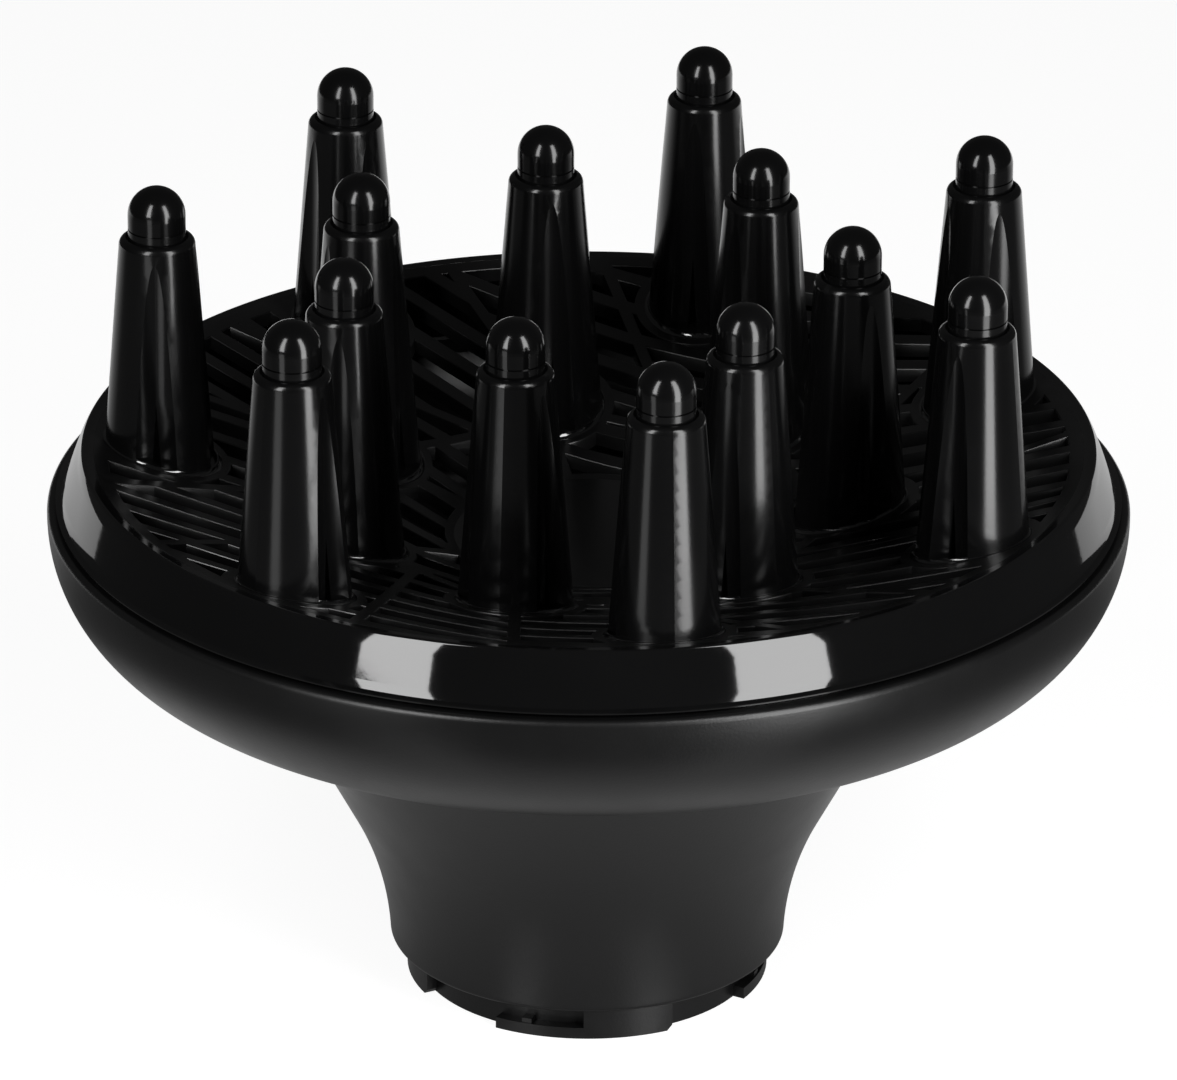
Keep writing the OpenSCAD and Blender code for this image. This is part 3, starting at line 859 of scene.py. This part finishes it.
class DIFFUSER_OT_studio(bpy.types.Operator):
    """Build the floor, the softboxes, the world and the camera"""

    bl_idname = "diffuser.studio"
    bl_label = "Studio"

    def execute(self, context):
        studio = context.scene.diffuser_studio
        self.floor(studio)
        self.world(context.scene)
        left, right = -studio.left_turn, studio.right_turn
        high, low, near = studio.softbox_top, studio.low_foot, studio.strip_nearness
        left_strip, right_strip = (low, studio.left_strip_top), (low, studio.right_strip_top)
        self.softbox("softbox_left", studio, left, 1.0, (studio.left_foot, high), 1.0)
        self.softbox("strip_left", studio, left, near, left_strip, studio.left_strip_share)
        self.softbox("softbox_right", studio, right, 1.0, (low, high), 1.0)
        self.softbox("strip_right", studio, right, near, right_strip, studio.right_strip_share)
        self.camera(context.scene, studio)
        return {"FINISHED"}

    def floor(self, studio):
        bm = bmesh.new()
        bmesh.ops.create_circle(bm, cap_ends=True, segments=96, radius=studio.floor_radius)
        mesh = bpy.data.meshes.new("floor")
        bm.to_mesh(mesh)
        bm.free()
        floor = bpy.data.objects.new("floor", mesh)
        bpy.context.scene.collection.objects.link(floor)
        n = Nodes("pale_floor")
        path = n.add("ShaderNodeLightPath")
        paper = n.add("ShaderNodeBsdfDiffuse")
        paper.inputs["Color"].default_value = (0.3, 0.3, 0.3, 1.0)
        # the object sees the softboxes mirrored in the table's polished top; what it sees of the floor is
        # a darker copy of the paper, painted shade
        shaded_polish = n.add("ShaderNodeBsdfPrincipled")
        # painted shade: the floor as the object sees it is darker than the paper that the camera sees
        shaded_polish.inputs["Base Color"].default_value = (0.08, 0.08, 0.08, 1.0)
        shaded_polish.inputs["Roughness"].default_value = 0.08
        shaded_polish.inputs["IOR"].default_value = 1.5
        plain = n.add("ShaderNodeMixShader")
        n.join(path.outputs["Is Camera Ray"], plain.inputs["Fac"])
        n.join(shaded_polish.outputs[0], plain.inputs[1])
        n.join(paper.outputs[0], plain.inputs[2])
        # painted light: reflections see the floor glow, from a painted dim front to the white behind the
        # object, with a painted pool of light round the diffuser's foot
        split = n.add("ShaderNodeSeparateXYZ")
        place = n.add("ShaderNodeTexCoord").outputs["Object"]
        n.join(place, split.inputs[0])
        reach = n.add("ShaderNodeVectorMath", operation="LENGTH")
        n.join(place, reach.inputs[0])
        # painted pool of light on the floor round the neck's foot, seen only in reflections
        near = n.combine(
            n.spread(reach.outputs["Value"], 0.12, 0.45, 0.03, 0.06),
            n.spread(reach.outputs["Value"], 1.0, 0.0, 0.085, 0.13), "MULTIPLY",
        )
        painted_floor_light = n.combine(n.spread(split.outputs["Y"], 0.07, 1.0, 0.08, 0.3), near)
        mirrored = n.combine(
            path.outputs["Is Glossy Ray"], path.outputs["Is Transmission Ray"], "MAXIMUM"
        )
        # the camera sees the floor glow nearly white
        seen = n.add("ShaderNodeMath", operation="MULTIPLY")
        n.join(path.outputs["Is Camera Ray"], seen.inputs[0])
        seen.inputs[1].default_value = 0.9
        # the glow holds the floor's even white for the camera and the painted light for reflections
        glow = n.add("ShaderNodeEmission")
        n.join(n.combine(seen.outputs[0], n.combine(mirrored, painted_floor_light, "MULTIPLY")), glow.inputs["Strength"])
        both = n.add("ShaderNodeAddShader")
        n.join(plain.outputs[0], both.inputs[0])
        n.join(glow.outputs[0], both.inputs[1])
        n.join(both.outputs[0], n.out.inputs["Surface"])
        mesh.materials.append(n.material)

    def world(self, scene):
        world = bpy.data.worlds.new("studio_room")
        world.use_nodes = True
        scene.world = world
        tree = world.node_tree
        tree.nodes.clear()
        add, join = tree.nodes.new, tree.links.new
        out = add("ShaderNodeOutputWorld")
        path = add("ShaderNodeLightPath")
        pick = add("ShaderNodeMix")
        # the camera sees a white room, and little of that white lights the pieces
        join(path.outputs["Is Camera Ray"], pick.inputs["Factor"])
        pick.inputs["A"].default_value = 0.04
        pick.inputs["B"].default_value = 1.0
        back = add("ShaderNodeBackground")
        back.inputs["Color"].default_value = (1.0, 1.0, 1.0, 1.0)
        join(pick.outputs["Result"], back.inputs["Strength"])
        join(back.outputs[0], out.inputs["Surface"])

    def softbox(self, name, studio, turn, near, span, share):
        """A lamp that stands upright over span, near times as far off as a softbox."""
        light = bpy.data.lights.new(name, "AREA")
        light.shape = "RECTANGLE"
        low, high = span
        light.size = (studio.left_width if turn < 0 else studio.right_width) * near
        light.size_y = high - low
        light.energy = studio.softbox_radiance * share * math.pi * light.size * light.size_y
        lamp = bpy.data.objects.new(name, light)
        reach = studio.softbox_distance * near
        lamp.location = (reach * math.sin(turn), -reach * math.cos(turn), (low + high) / 2)
        aim = Vector((-lamp.location.x, -lamp.location.y, 0))
        lamp.rotation_euler = aim.to_track_quat("-Z", "Y").to_euler()
        lamp.visible_camera = False
        bpy.context.scene.collection.objects.link(lamp)

    def camera(self, scene, studio):
        camera = bpy.data.objects.new("camera", bpy.data.cameras.new("camera"))
        camera.data.sensor_width = 36.0
        camera.data.lens = studio.camera_lens
        e = studio.camera_elevation
        camera.location = (
            0.0,
            -studio.camera_distance * math.cos(e),
            studio.plate_edge + studio.camera_distance * math.sin(e),
        )
        tilt = e + studio.camera_tilt
        aim = Matrix.Rotation(math.pi / 2 - tilt, 3, "X")
        camera.rotation_euler = (aim @ Matrix.Rotation(studio.camera_roll, 3, "Z")).to_euler()
        scene.collection.objects.link(camera)
        scene.camera = camera
        scene.view_settings.view_transform = "Standard"


class DIFFUSER_PT_sidebar(bpy.types.Panel):
    """Lists the diffuser's build steps"""

    bl_idname = "DIFFUSER_PT_sidebar"
    bl_label = "Diffuser"
    bl_space_type = "VIEW_3D"
    bl_region_type = "UI"
    bl_category = "Diffuser"

    def draw(self, context):
        for step in STEPS:
            self.layout.operator(step.bl_idname, text=step.bl_label)


STEPS = (DIFFUSER_OT_shell, DIFFUSER_OT_faceplate, DIFFUSER_OT_fingers, DIFFUSER_OT_studio)
GROUPS = (DiffuserFinish, DiffuserBowl, DiffuserPlate, DiffuserStudio)


def register():
    for cls in (*GROUPS, *STEPS, DIFFUSER_PT_sidebar):
        bpy.utils.register_class(cls)
    bpy.types.Scene.diffuser_finish = PointerProperty(type=DiffuserFinish)
    bpy.types.Scene.diffuser_bowl = PointerProperty(type=DiffuserBowl)
    bpy.types.Scene.diffuser_plate = PointerProperty(type=DiffuserPlate)
    bpy.types.Scene.diffuser_studio = PointerProperty(type=DiffuserStudio)


def unregister():
    del bpy.types.Scene.diffuser_studio
    del bpy.types.Scene.diffuser_plate
    del bpy.types.Scene.diffuser_bowl
    del bpy.types.Scene.diffuser_finish
    for cls in (DIFFUSER_PT_sidebar, *reversed(STEPS), *reversed(GROUPS)):
        bpy.utils.unregister_class(cls)


def main():
    register()
    bpy.ops.diffuser.shell()
    bpy.ops.diffuser.faceplate()
    bpy.ops.diffuser.fingers()
    bpy.ops.diffuser.studio()


if __name__ == "__main__":
    main()
